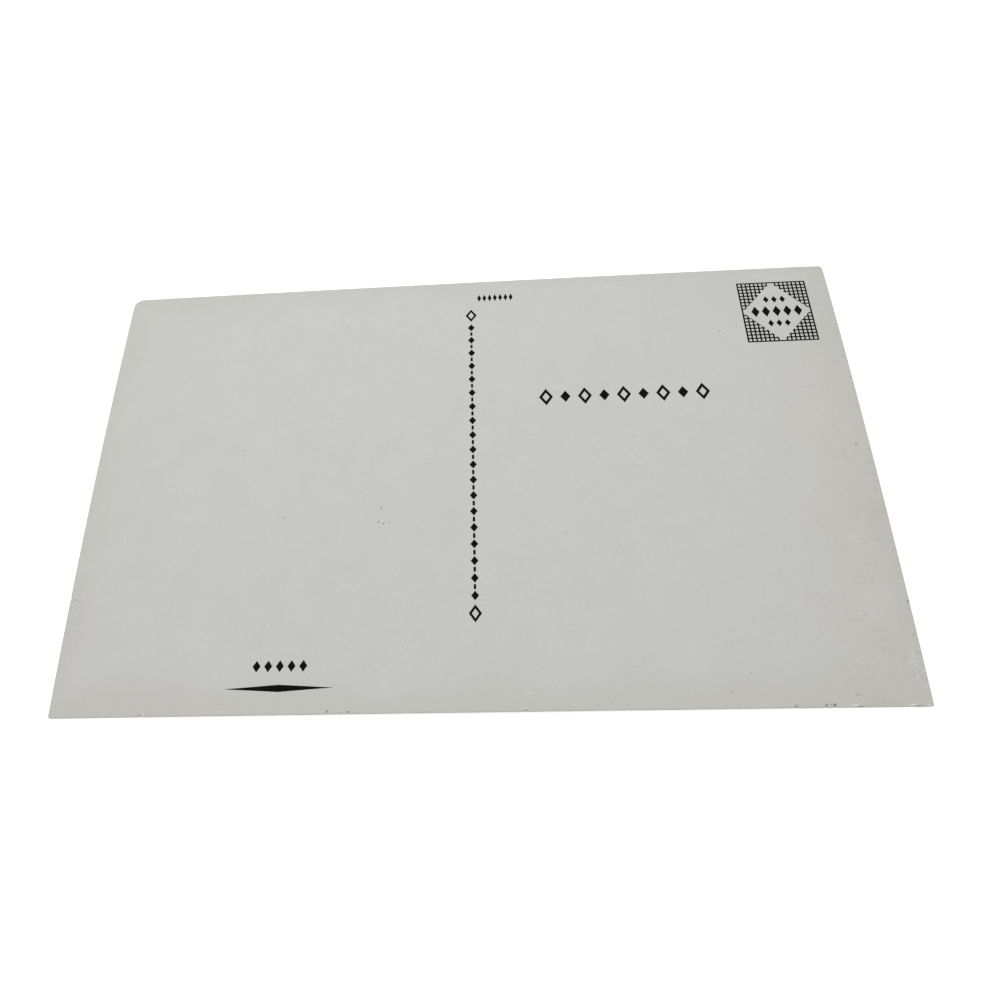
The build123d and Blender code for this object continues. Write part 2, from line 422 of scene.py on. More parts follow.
class PostcardStage(bpy.types.PropertyGroup):
    """Camera, light and floor."""

    camera_place: position("Camera place", (0.005677, -0.087412, 0.146103), "Where the camera stands")
    camera_down: angle("Camera down", 60.418, "How far below the horizon the camera looks")
    camera_turn: angle("Camera turn", 9.416, "How far to the left of straight ahead the camera looks")
    camera_roll: angle("Camera roll", -10.050, "How far the camera is rolled about its line of sight")
    lens: number("Lens", 33.812, "Focal length in millimetres on a 36 mm sensor", unit="CAMERA")
    shift: number("Shift", 0.07266, "Sideways shift of the frame", precision=5)
    floor: colour("Floor", (0.700, 0.700, 0.700), "Plain pale floor")
    floor_reach: length("Floor reach", 4000, "How far the floor goes to each side")
    floor_lift: number("Floor lift", 0.62, "Brightness that the floor adds where it is seen directly", min=0)
    sky: number("Sky", 0.61, "Even light from all round", min=0)
    window: number("Window", 0.708, "Light from the soft lamp above the top edge", min=0, unit="POWER")
    window_place: position("Window place", (-0.06, 0.13, 0.36), "Where the soft lamp hangs")
    window_size: length("Window size", 400, "Width of the soft lamp")


def wander(place, waves, noise_slice):
    """Smooth noise at a place, between about -1 and 1."""
    return noise.noise((place.x * waves, place.y * waves, noise_slice))


def stepped(here, there, step):
    """Places from one point up to the next, about a step apart."""
    count = max(1, round((there - here).length / step))
    return [here.lerp(there, i / count) for i in range(count)]


def cut_outline(sheet):
    """Places round the clean cut, counter-clockwise, each with its direction into the card."""
    step = sheet.edge_step / MM
    corners = (
        (HALF_LENGTH, -HALF_WIDTH, sheet.corner_bottom_right / MM),
        (HALF_LENGTH, HALF_WIDTH, sheet.corner_top_right / MM),
        (-HALF_LENGTH, HALF_WIDTH, sheet.corner_top_left / MM),
        (-HALF_LENGTH, -HALF_WIDTH, sheet.corner_bottom_left / MM),
    )
    turns = []
    for quarter, (x, y, radius) in enumerate(corners):
        middle = Vector((x - math.copysign(radius, x), y - math.copysign(radius, y)))
        steps = max(FEWEST_CORNER_STEPS, round(radius * math.pi / 2 / step))
        for i in range(steps + 1):
            turn = (quarter - 1 + i / steps) * math.pi / 2
            outward = Vector((math.cos(turn), math.sin(turn)))
            turns.append((middle + radius * outward, -outward))
    places = []
    for (here, inward), (there, _) in zip(turns, turns[1:] + turns[:1]):
        places += [(place, inward) for place in stepped(here, there, step)]
    return places


def nick_depth(place):
    """How far all nicks together reach into the card at a place on its outline."""
    depth = 0
    for nick in NICKS:
        away = math.hypot(place.x - nick.x, place.y - nick.y) / (nick.width / 2)
        depth += nick.depth * max(0, 1 - away)
    return depth


def fray_at(place, fray):
    """How far fibres are worn away near the two upper corners."""
    to_corner = math.hypot(HALF_LENGTH - abs(place.x), HALF_WIDTH - place.y)
    ragged = 0.5 + 0.5 * wander(place, FRAY_WAVES, FRAY_SLICE)
    return fray * ragged * max(0, 1 - to_corner / FRAY_REACH)


def worn_outline(sheet, cut_slice, nick_share):
    """One layer's own outline, and two rings of points just inside it."""
    outline, near_ring, far_ring = [], [], []
    for i, (place, inward) in enumerate(cut_outline(sheet)):
        slow = SLOW_CUT_SHARE * wander(place, SLOW_CUT_WAVES, cut_slice)
        quick = QUICK_CUT_SHARE * wander(place, QUICK_CUT_WAVES, cut_slice + QUICK_CUT_SLICE)
        depth = sheet.cut_roughness / MM * (1 + slow + quick)
        depth += nick_share * (nick_depth(place) + fray_at(place, sheet.corner_fray / MM))
        outline.append(place + inward * depth)
        near_ring.append(place + inward * (depth + NEAR_RING))
        if i % FAR_RING_SKIP == 0:
            far_ring.append(place + inward * (depth + FAR_RING))
    return outline, near_ring + far_ring


def inner_grid(sheet):
    """Evenly spread points inside the sheet, clear of its edges."""
    step = sheet.grid_step / MM
    columns = round(2 * (HALF_LENGTH - GRID_MARGIN) / step)
    rows = round(2 * (HALF_WIDTH - GRID_MARGIN) / step)
    points = []
    for column in range(columns + 1):
        for row in range(rows + 1):
            x = (2 * column / columns - 1) * (HALF_LENGTH - GRID_MARGIN)
            y = (2 * row / rows - 1) * (HALF_WIDTH - GRID_MARGIN)
            points.append(Vector((x, y)))
    return points


def filled(loops, inner):
    """Points, triangles and outline edges of the shape in some loops, which keep its inside on their left.

    The triangles also use the inner points.
    """
    points, edges = [], []
    for loop in loops:
        first = len(points)
        points += loop
        edges += [(first + i, first + (i + 1) % len(loop)) for i in range(len(loop))]
    points += inner
    flat, _, triangles, _, _, _ = geometry.delaunay_2d_cdt(points, edges, [], 0, SAME_POINT)
    if len(flat) != len(points):
        raise RuntimeError("The outlines cross or touch, so they can't be filled")
    owner = {}
    for index, triangle in enumerate(triangles):
        for i in range(3):
            owner[triangle[i], triangle[(i + 1) % 3]] = index
    outline = set(edges)
    inside = {owner[edge] for edge in edges}
    waiting = list(inside)
    while waiting:
        triangle = triangles[waiting.pop()]
        for i in range(3):
            edge = (triangle[i], triangle[(i + 1) % 3])
            beyond = owner.get((edge[1], edge[0]))
            if edge not in outline and beyond is not None and beyond not in inside:
                inside.add(beyond)
                waiting.append(beyond)
    return points, [triangles[index] for index in sorted(inside)], edges


def closed_sheet(name, loops, inner, top, bottom, rim_drop=0):
    """A closed thin sheet between two heights over the same flat shape."""
    points, triangles, rim = filled(loops, inner)
    on_rim = {edge[0] for edge in rim}
    count = len(points)
    upper = []
    for i, point in enumerate(points):
        drop = rim_drop if i in on_rim else 0
        upper.append((point.x * MM, point.y * MM, (top(point) - drop) * MM))
    lower = [(point.x * MM, point.y * MM, bottom(point) * MM) for point in points]
    faces = [tuple(triangle) for triangle in triangles]
    faces += [tuple(i + count for i in reversed(triangle)) for triangle in triangles]
    faces += [(a + count, b + count, b, a) for a, b in rim]
    mesh = bpy.data.meshes.new(name)
    mesh.from_pydata(upper + lower, [], faces)
    mesh.shade_smooth()
    mesh.set_sharp_from_angle(angle=SHARP_ANGLE)
    piece = bpy.data.objects.new(name, mesh)
    bpy.context.collection.objects.link(piece)
    return piece


def bowed(radius, sheet):
    """Height of a surface at that distance from the bow's axis, with the sheet's arch and waves."""

    def height(point):
        arch = 1 - (point.x / HALF_LENGTH) ** 2
        swell = 0.5 + 0.5 * wander(point, SWELL_WAVES, SWELL_SLICE)
        lift = sheet.long_arch * arch + sheet.wave * swell
        return BOW_AXIS + math.sqrt(radius**2 - point.y**2) + lift / MM

    return height


def loosened(height):
    """The same surface where the ply has come away along the lower edge."""

    def lifted(point):
        lift = 0
        for flap in FLAPS:
            along = (point.x - flap.x) / (flap.length / 2)
            inwards = (point.y - flap.y) / flap.reach
            lift += flap.lift * max(0, 1 - along**2 - inwards**2) ** 2
        return height(point) + lift

    return lifted


def finished(piece, material, nodes):
    """Gives a piece its material and its place in the frame, and hides the nodes that it stands for."""
    piece.data.materials.append(material)
    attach(piece, BODY)
    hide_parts(*nodes)


def share_at(place, marks):
    """How strongly the marks of one kind show at a place."""
    strongest = 0
    for mark in marks:
        away = place - Vector((mark.x, mark.y))
        if away.length < mark.long / 2:
            away.rotate(Matrix.Rotation(-math.radians(mark.lean), 2))
            inwards = 1 - math.hypot(away.x / mark.long, away.y / mark.wide) * 2
            strongest = max(strongest, mark.share * min(1, max(0, inwards / SOFT_RIM)))
    return strongest


def clear_of_cut(place):
    """Whether a place is a little way inside the cut edge and its nicks."""
    to_side = HALF_LENGTH - abs(place.x)
    to_long = HALF_WIDTH - abs(place.y)
    if to_side < to_long:
        cut = Vector((math.copysign(HALF_LENGTH, place.x), place.y))
    else:
        cut = Vector((place.x, math.copysign(HALF_WIDTH, place.y)))
    return min(to_side, to_long) > nick_depth(cut) + MARK_CLEARANCE


def mark_points(marks):
    """Points that outline each mark and its full middle, so that a mesh can carry its shape."""
    points = []
    for mark in marks:
        points.append(Vector((mark.x, mark.y)))
        for size in (1 - SOFT_RIM, 1):
            for i in range(MARK_SIDES):
                turn = (i + size / 2) * math.tau / MARK_SIDES
                point = Vector((math.cos(turn) * mark.long, math.sin(turn) * mark.wide)) * size / 2
                point.rotate(Matrix.Rotation(math.radians(mark.lean), 2))
                points.append(point + Vector((mark.x, mark.y)))
    return [point for point in points if clear_of_cut(point)]


def store_marks(piece, name, marks):
    """Keeps how strongly the marks of one kind show at each point of a piece."""
    shares = piece.data.attributes.new(name, "FLOAT", "POINT")
    for vertex, share in zip(piece.data.vertices, shares.data):
        share.value = share_at(vertex.co.xy / MM, marks)


def sheet_layer(name, nodes, sheet, cut_slice, nick_share, loose=False, more_points=()):
    """One bonded layer, or several that look like one, with its own worn outline."""
    radii = [layer_radii(node) for node in nodes]
    bottom = bowed(min(low for low, _ in radii), sheet)
    top = bowed(max(high for _, high in radii), sheet)
    if loose:
        bottom, top = loosened(bottom), loosened(top)
    outline, rings = worn_outline(sheet, cut_slice, nick_share)
    drop = sheet.rim_drop / MM if loose else 0
    inner = rings + inner_grid(sheet) + list(more_points)
    return closed_sheet(name, [outline], inner, top, bottom, drop)


def mark_outlines(node):
    """Loops round the upper faces of a print, each with the ink on its left."""
    mesh = NODES[node].data
    open_edges = set()
    for polygon in mesh.polygons:
        if polygon.normal.z < UPPER_FACE:
            continue
        corners = []
        for index in polygon.vertices:
            point = mesh.vertices[index].co / MM
            corners.append((round(point.x, 4), round(point.y, 4)))
        for edge in zip(corners, corners[1:] + corners[:1]):
            if (edge[1], edge[0]) in open_edges:
                open_edges.remove((edge[1], edge[0]))
            else:
                open_edges.add(edge)
    following = dict(open_edges)
    loops = []
    while following:
        start = min(following)
        loop = [start]
        while following[loop[-1]] != start:
            loop.append(following[loop[-1]])
        for point in loop:
            del following[point]
        loops.append([Vector(point) for point in loop])
    return loops


def squeezed(loop, step, squeeze):
    """A mark's outline with more points, moved a little as ink moves under pressure."""
    outline = []
    for here, there in zip(loop, loop[1:] + loop[:1]):
        for place in stepped(here, there, step):
            shift = [wander(place, INK_WAVES, noise_slice) for noise_slice in INK_SLICES]
            outline.append(place + squeeze * Vector(shift))
    return outline


def opaque(value):
    """A plain colour with full alpha; sockets pass through."""
    if isinstance(value, bpy.types.NodeSocket):
        return value
    return (value[0], value[1], value[2], 1.0)


def scaled(red_green_blue, factor):
    """A darker or paler tone of a plain colour."""
    return tuple(min(1, part * factor) for part in red_green_blue)


class Wiring:
    """A node tree, with short calls for the nodes that the finishes use."""

    def __init__(self, tree):
        self.tree = tree

    def add(self, kind, inputs=None, **settings):
        """A node whose inputs are set to values or linked from other nodes' sockets."""
        node = self.tree.nodes.new(kind)
        for key, value in settings.items():
            setattr(node, key, value)
        for key, value in (inputs or {}).items():
            if isinstance(value, bpy.types.NodeSocket):
                self.tree.links.new(value, node.inputs[key])
            else:
                node.inputs[key].default_value = value
        return node

    def math(self, operation, *values):
        return self.add("ShaderNodeMath", dict(enumerate(values)), operation=operation).outputs[0]

    def plus(self, first, second):
        return self.math("ADD", first, second)

    def minus(self, first, second):
        return self.math("SUBTRACT", first, second)

    def times(self, first, second):
        return self.math("MULTIPLY", first, second)

    def vector(self, operation, *values):
        node = self.add("ShaderNodeVectorMath", dict(enumerate(values)), operation=operation)
        return node.outputs["Vector"]

    def parts(self, place):
        """A place's X, Y and Z."""
        return self.add("ShaderNodeSeparateXYZ", {"Vector": place}).outputs

    def drawn_out(self, place, x=1.0, y=1.0):
        """A place for textures that a scale under 1 draws out in its direction."""
        return self.vector("MULTIPLY", place, (x, y, 1.0))

    def smooth(self, value, span=(0.0, 1.0), to=(0.0, 1.0)):
        """A value carried smoothly from a span to a range."""
        inputs = {"Value": value, "From Min": span[0], "From Max": span[1], "To Min": to[0], "To Max": to[1]}
        return self.add("ShaderNodeMapRange", inputs, interpolation_type="SMOOTHSTEP").outputs["Result"]

    def through(self, distance, span, to=(0.0, 1.0)):
        """A distance carried smoothly from a span, given in millimetres, to a range."""
        return self.smooth(distance, (span[0] * MM, span[1] * MM), to)

    def spread(self, value, to):
        """Noise carried smoothly from where most of it lies to a range."""
        return self.smooth(value, MOST_NOISE, to)

    def mix(self, factor, first, second):
        """Two colours mixed by a factor; plain colours are given as red, green and blue."""
        inputs = {0: factor, 6: opaque(first), 7: opaque(second)}
        return self.add("ShaderNodeMix", inputs, data_type="RGBA").outputs[2]

    def tint(self, under, over, mask, share):
        """A colour laid over another where a mask is, at a share of its strength."""
        return self.mix(self.times(mask, share), under, over)

    def toned(self, base, mask, tones):
        """A plain colour that a mask takes from one tone of it to another."""
        return self.mix(mask, scaled(base, tones[0]), scaled(base, tones[1]))

    def noise(self, place, size, detail=2.0, roughness=0.5):
        """Soft noise whose features are about as large as size, in metres."""
        scale = self.math("DIVIDE", 1.0, size)
        inputs = {"Vector": place, "Scale": scale, "Detail": detail, "Roughness": roughness}
        return self.add("ShaderNodeTexNoise", inputs).outputs["Fac"]

    def group(self, group, **inputs):
        """A shared group's outputs, with its inputs named by keywords."""
        named = {key.replace("_", " ").title(): value for key, value in inputs.items()}
        return self.add("ShaderNodeGroup", named, node_tree=group).outputs

    def mask(self, group, **inputs):
        """The only output of a shared group."""
        return self.group(group, **inputs)[0]

    def surface_place(self):
        """Place on the card, in metres from its middle."""
        return self.add("ShaderNodeTexCoord").outputs["Object"]

    def stored(self, name):
        """A value that the mesh keeps at its points."""
        return self.add("ShaderNodeAttribute", attribute_name=name).outputs["Fac"]

    def bump(self, height, distance, strength):
        """Normal of a surface with small relief."""
        inputs = {"Height": height, "Distance": distance, "Strength": strength}
        return self.add("ShaderNodeBump", inputs).outputs["Normal"]


def shared_group(name, inputs, outputs, fill, kind="NodeSocketFloat"):
    """A node group, built once, with a place, inputs of one kind and what fill wires to its outputs."""
    if name in bpy.data.node_groups:
        return bpy.data.node_groups[name]
    tree = bpy.data.node_groups.new(name, "ShaderNodeTree")
    tree.interface.new_socket("Place", in_out="INPUT", socket_type="NodeSocketVector")
    for socket in inputs:
        tree.interface.new_socket(socket, in_out="INPUT", socket_type=kind)
    for socket in outputs:
        tree.interface.new_socket(socket, in_out="OUTPUT", socket_type=kind)
    entry = tree.nodes.new("NodeGroupInput")
    leave = tree.nodes.new("NodeGroupOutput")
    for socket, value in fill(Wiring(tree), entry.outputs).items():
        tree.links.new(value, leave.inputs[socket])
    return tree


def paper_fibres():
    """Cloudy formation and fine fibres of pressed board."""

    def fill(wire, given):
        cloud_share, fibre_share, tone_levels = 0.6, 0.4, (0.32, 0.68)
        strand_size, strand_width, strand_height = 1.4, 0.028, 0.35
        drawn_out = wire.drawn_out(given["Place"], x=0.45)
        fibres = wire.noise(drawn_out, given["Fibre"], detail=3.0, roughness=0.65)
        clouds = wire.noise(given["Place"], given["Cloud"], roughness=0.55)
        tone = wire.plus(wire.times(clouds, cloud_share), wire.times(fibres, fibre_share))
        tangle = wire.noise(drawn_out, wire.times(given["Fibre"], strand_size), roughness=0.6)
        off_middle = wire.math("ABSOLUTE", wire.minus(tangle, MIDDLE_NOISE))
        strands = wire.smooth(off_middle, (strand_width, 0.0))
        relief = wire.plus(fibres, wire.times(strands, strand_height))
        return {"Tone": wire.smooth(tone, tone_levels), "Strands": strands, "Relief": relief}

    return shared_group("Paper fibres", ("Fibre", "Cloud"), ("Tone", "Strands", "Relief"), fill)


def specks():
    """Scattered small dots: one in some of the cells of a loose grid."""

    def fill(wire, given):
        smallest, full_middle = 0.5, 0.5
        grid = {"Vector": given["Place"], "Scale": wire.math("DIVIDE", 1.0, given["Cell"])}
        cells = wire.add("ShaderNodeTexVoronoi", grid, voronoi_dimensions="2D").outputs
        draws = wire.add("ShaderNodeSeparateColor", {"Color": cells["Color"]}).outputs
        chosen = wire.math("LESS_THAN", draws["Red"], given["Share"])
        size = wire.times(given["Radius"], wire.smooth(draws["Green"], to=(smallest, 1.0)))
        dot = wire.smooth(cells["Distance"], (size, wire.times(size, full_middle)))
        return {"Mask": wire.times(dot, chosen)}

    return shared_group("Specks", ("Cell", "Radius", "Share"), ("Mask",), fill)


def flecks():
    """Small irregular spots, gathered in loose clusters."""

    def fill(wire, given):
        cluster_share, more_share, fleck_levels = 0.28, 0.085, (0.615, 0.725)
        fine = wire.noise(wire.drawn_out(given["Place"], x=0.65), given["Size"], roughness=0.6)
        clusters = wire.minus(wire.noise(given["Place"], given["Cluster"]), MIDDLE_NOISE)
        level = wire.plus(fine, wire.times(clusters, cluster_share))
        level = wire.plus(level, wire.times(given["More"], more_share))
        return {"Mask": wire.smooth(level, fleck_levels)}

    return shared_group("Flecks", ("Size", "Cluster", "More"), ("Mask",), fill)


def card_edge():
    """Nearness to the card's edges: 1 at the cut, 0 a given reach inside, with an uneven front."""

    def fill(wire, given):
        parts = wire.parts(given["Place"])
        to_side = wire.minus(HALF_LENGTH * MM, wire.math("ABSOLUTE", parts["X"]))
        to_long = wire.minus(HALF_WIDTH * MM, wire.math("ABSOLUTE", parts["Y"]))
        away = wire.math("MINIMUM", to_side, to_long)
        patches = wire.noise(given["Place"], given["Patch"], detail=3.0, roughness=0.6)
        reach = wire.times(given["Reach"], wire.spread(patches, to=(0.25, 1.75)))
        return {"Nearness": wire.smooth(away, (reach, 0.0))}

    return shared_group("Card edge", ("Reach", "Patch"), ("Nearness",), fill)


def skyline():
    """Mask of what lies under a ridge line, with pointed tops where trees stand on it."""

    def fill(wire, given):
        parts = wire.parts(given["Place"])
        along = wire.add("ShaderNodeCombineXYZ", {"X": parts["X"], "Y": given["Seed"]}).outputs["Vector"]
        rise = wire.minus(wire.noise(along, given["Size"], detail=5.0), MIDDLE_NOISE)
        row = {"W": parts["X"], "Scale": wire.math("DIVIDE", 1.0, given["Tree Size"])}
        trees = wire.add("ShaderNodeTexVoronoi", row, voronoi_dimensions="1D").outputs
        between_trees = 0.5
        pointed = wire.minus(between_trees, trees["Distance"])
        line = wire.plus(given["Height"], wire.times(rise, given["Swing"]))
        line = wire.plus(line, wire.times(pointed, given["Tree Height"]))
        return {"Mask": wire.through(wire.minus(parts["Y"], line), RIDGE_LINE)}

    values = ("Height", "Swing", "Size", "Seed", "Tree Height", "Tree Size")
    return shared_group("Skyline", values, ("Mask",), fill)


def under_ridge(wire, place, ridge):
    """Mask of what lies under one ridge of the landscape."""
    return wire.mask(
        skyline(),
        place=place,
        height=ridge.level * MM,
        swing=ridge.swing * MM,
        size=ridge.size * MM,
        seed=ridge.seed,
        tree_height=ridge.tree_height * MM,
        tree_size=ridge.tree_size * MM,
    )


def sky_and_hills():
    """Sky with clouds over three ridges, used upright and again as the lake's reflection."""

    def fill(wire, given):
        place = given["Place"]
        height = wire.parts(place)["Y"]
        sky = wire.mix(wire.through(height, SKY_SPAN), given["Low Sky"], given["High Sky"])
        billow = wire.noise(wire.drawn_out(place, x=0.45), 11 * MM, detail=6.0, roughness=0.58)
        cloud_levels = (0.50, 0.66)
        cover = wire.times(wire.smooth(billow, cloud_levels), wire.through(height, CLOUD_SPAN))
        scene = wire.mix(cover, sky, given["Cloud"])
        woods = wire.noise(place, 3.5 * MM, detail=4.0, roughness=0.65)
        mottle = wire.spread(woods, to=(0.75, 1.3))
        for ridge in RIDGES:
            shades = {0: given[ridge.name], "Scale": mottle}
            shaded = wire.add("ShaderNodeVectorMath", shades, operation="SCALE").outputs["Vector"]
            scene = wire.mix(under_ridge(wire, place, ridge), scene, shaded)
        return {"Scene": scene}

    colours = ("High Sky", "Low Sky", "Cloud", "Far Hills", "Near Hills", "Pines")
    return shared_group("Sky and hills", colours, ("Scene",), fill, kind="NodeSocketColor")


def new_finish(name, **plain):
    """A material, its wiring and its shader, with the values that are the same all over."""
    material = bpy.data.materials.new(name)
    material.use_nodes = True
    shader = material.node_tree.nodes["Principled BSDF"]
    for socket, value in plain.items():
        shader.inputs[socket.replace("_", " ")].default_value = value
    return material, Wiring(material.node_tree), shader


def connect(wire, shader, **links):
    """Links values to a shader's inputs, which are named by keywords."""
    for socket, value in links.items():
        wire.tree.links.new(value, shader.inputs[socket.replace("_", " ")])


def message_finish(sheet):
    """Uncoated off-white board with toned edges, a thumbed right end, marks of use and painted shade at
    nicks and flaps.
    """
    material, wire, shader = new_finish("Message board", Specular_IOR_Level=0.25)
    place = wire.surface_place()
    parts = wire.parts(place)
    fibres = wire.group(paper_fibres(), place=place, fibre=0.42 * MM, cloud=5.5 * MM)
    paper = wire.toned(sheet.paper, fibres["Tone"], tones=(0.973, 1.013))
    paper = wire.tint(paper, sheet.scuff, fibres["Strands"], share=0.20)

    # Toned by air in from the edges, and over the left end
    leaning = wire.vector("ADD", place, TONING_LEAN)
    toning = wire.mask(card_edge(), place=leaning, reach=8.5 * MM, patch=22 * MM)
    paper = wire.tint(paper, sheet.toned_paper, toning, share=0.55)
    paper = wire.tint(paper, sheet.toned_paper, wire.through(parts["X"], LEFT_TONING), share=0.20)

    # Held at the right end: dulled where hands begin to reach, then thumbed, or soiled further up
    front = wire.noise(place, 11 * MM, detail=3.0, roughness=0.6)
    across = wire.plus(parts["X"], wire.spread(front, to=(-6 * MM, 6 * MM)))
    held = wire.mix(wire.through(parts["Y"], SOILED_TOP), sheet.thumbed_paper, sheet.soiled_paper)
    held = wire.mix(wire.through(across, THUMBED_END), sheet.dulled_paper, held)
    paper = wire.mix(wire.through(across, HELD_END, to=(0.0, HELD_SHARE)), paper, held)
    paper = wire.mix(wire.stored("pink_marks"), paper, sheet.pink_stain)

    # Loose dirt and lint all over
    aside = wire.vector("ADD", place, ASIDE)
    dirt = wire.mask(specks(), place=place, cell=3.1 * MM, radius=0.045, share=0.24)
    paper = wire.tint(paper, sheet.grime_and_shade, dirt, share=0.30)
    lint = wire.mask(specks(), place=aside, cell=5.2 * MM, radius=0.036, share=0.50)
    paper = wire.tint(paper, sheet.scuff, lint, share=0.65)

    # Fibres rubbed open and dirt ground in where the card is handled
    edges = wire.mask(card_edge(), place=place, reach=6.0 * MM, patch=9.0 * MM)
    handled = wire.math("MAXIMUM", wire.times(edges, EDGE_HANDLING), wire.through(across, RUBBED_END))
    worst = wire.stored("rubbed_marks")
    rubbed = wire.mask(flecks(), place=place, size=0.45 * MM, cluster=4.5 * MM, more=worst)
    rubbed_share = wire.plus(wire.times(handled, RUBBED_SHARE), RUBBED_ALL_OVER)
    paper = wire.tint(paper, sheet.scuff, rubbed, rubbed_share)
    soiled = wire.mask(flecks(), place=aside, size=0.48 * MM, cluster=4.5 * MM, more=worst)
    paper = wire.tint(paper, sheet.grime_and_shade, soiled, wire.times(handled, GROUND_IN_SHARE))
    cut_grime = wire.mask(card_edge(), place=place, reach=0.30 * MM, patch=1.2 * MM)
    paper = wire.tint(paper, sheet.grime_and_shade, cut_grime, share=0.05)
    paper = wire.mix(wire.stored("light_marks"), paper, sheet.scuff)
    # Dark marks are dirt, with painted shade in the nicks and painted shadow under the lifted flaps
    paper = wire.mix(wire.stored("dark_marks"), paper, sheet.grime_and_shade)

    rough = wire.smooth(fibres["Tone"], to=(0.78, 0.90))
    normal = wire.bump(fibres["Relief"], distance=0.02 * MM, strength=0.5)
    connect(wire, shader, Base_Color=paper, Roughness=rough, Normal=normal)
    return material


def board_finish(name, base, fibre):
    """A ply or coat that shows as a fibrous line along the cut, in a pale colour that also holds painted
    light.
    """
    material, wire, shader = new_finish(name, Specular_IOR_Level=0.2)
    fibres = wire.group(paper_fibres(), place=wire.surface_place(), fibre=fibre, cloud=1.6 * MM)
    body = wire.toned(base, fibres["Tone"], tones=(0.72, 1.12))
    rough = wire.spread(fibres["Relief"], to=(0.82, 0.95))
    normal = wire.bump(fibres["Relief"], distance=0.03 * MM, strength=0.6)
    connect(wire, shader, Base_Color=body, Roughness=rough, Normal=normal)
    return material


def ink_finish(ink):
    """Matt black letterpress ink, thinner where fibres take it unevenly."""
    material, wire, shader = new_finish("Black ink", Specular_IOR_Level=0.04)
    place = wire.surface_place()
    fibres = wire.group(paper_fibres(), place=place, fibre=0.16 * MM, cloud=1.2 * MM)
    body = wire.mix(fibres["Tone"], ink.ink, ink.thin_ink)
    pinholes = wire.mask(specks(), place=place, cell=0.45 * MM, radius=0.16, share=0.30)
    body = wire.tint(body, ink.pinhole, pinholes, share=0.07)
    rough = wire.spread(fibres["Relief"], to=(0.52, 0.72))
    normal = wire.bump(fibres["Relief"], distance=0.01 * MM, strength=0.3)
    connect(wire, shader, Base_Color=body, Roughness=rough, Normal=normal)
    return material


def lake(wire, view, picture, colours):
    """Sky and hills upside down in rippled water, which shows more of its own colour towards the meadow."""
    ripples = wire.noise(wire.drawn_out(view, x=0.14), 1.1 * MM, detail=3.0, roughness=0.6)
    sway = wire.smooth(ripples, (0.25, 0.75), to=(-1.6 * MM, 1.6 * MM))
    mirrored = wire.vector("MULTIPLY_ADD", view, (1.0, -1.0, 1.0), (0.0, 2 * SHORE * MM, 0.0))
    swayed = wire.vector("ADD", mirrored, wire.add("ShaderNodeCombineXYZ", {"Y": sway}).outputs["Vector"])
    reflection = wire.group(sky_and_hills(), place=swayed, **colours)["Scene"]
    depth = wire.through(wire.parts(view)["Y"], LAKE_SPAN, to=(0.25, 0.8))
    return wire.mix(depth, reflection, picture.water)


def meadow(wire, view, picture):
    """Grass that darkens towards the lower edge, with dry stalks in drifts and flowers in patches."""
    shade = wire.through(wire.parts(view)["Y"], MEADOW_SPAN)
    grass = wire.toned(picture.grass, shade, tones=(1.0, 0.45))
    blades = wire.noise(wire.drawn_out(view, y=0.22), 0.7 * MM, detail=4.0, roughness=0.7)
    stalks = wire.smooth(blades, (0.38, 0.66))
    drifts = wire.noise(view, 12 * MM, detail=3.0, roughness=0.6)
    dry = wire.smooth(drifts, (0.40, 0.62), to=(0.15, 0.85))
    grass = wire.tint(grass, picture.straw, stalks, dry)
    flowers = wire.mask(specks(), place=view, cell=1.9 * MM, radius=0.30, share=0.40)
    patches = wire.smooth(wire.noise(view, 16 * MM), (0.50, 0.58))
    return wire.tint(grass, picture.blossom, flowers, patches)


def picture_finish(picture):
    """Full-bleed colour landscape under a clear gloss, printed with a fine screen of dots."""
    material, wire, shader = new_finish(
        "Glossy picture", Specular_IOR_Level=0.15, Coat_Weight=1.0, Coat_Roughness=0.05
    )
    place = wire.surface_place()
    view = wire.vector("MULTIPLY", place, (-1.0, 1.0, 0.0))
    names = ("high_sky", "low_sky", "cloud", "far_hills", "near_hills", "pines")
    colours = {name: opaque(getattr(picture, name)) for name in names}
    scene = wire.group(sky_and_hills(), place=view, **colours)["Scene"]
    below_shore = wire.through(wire.parts(view)["Y"], SHORE_LINE)
    scene = wire.mix(below_shore, scene, lake(wire, view, picture, colours))
    scene = wire.mix(under_ridge(wire, view, MEADOW), scene, meadow(wire, view, picture))

    # Printed dots with the coat showing between them, and a rim worn down to the board
    screen = {"Vector": view, "Scale": 1 / (DOT_PITCH * MM), "Randomness": 0.0}
    dots = wire.add("ShaderNodeTexVoronoi", screen, voronoi_dimensions="2D").outputs
    between = wire.smooth(dots["Distance"], (0.15, 0.55), to=(0.0, 0.10))
    scene = wire.mix(between, scene, picture.bare_coat)
    worn = wire.mask(card_edge(), place=place, reach=0.35 * MM, patch=2.2 * MM)
    scene = wire.tint(scene, picture.worn_rim, worn, share=0.7)

    scuffs = wire.noise(wire.drawn_out(place, x=0.2), 1.6 * MM, detail=4.0, roughness=0.7)
    rough = wire.smooth(scuffs, (0.35, 0.75), to=(0.22, 0.42))
    normal = wire.bump(wire.noise(place, 1.6 * MM), distance=0.015 * MM, strength=0.15)
    connect(wire, shader, Base_Color=scene, Roughness=rough, Normal=normal)
    return material


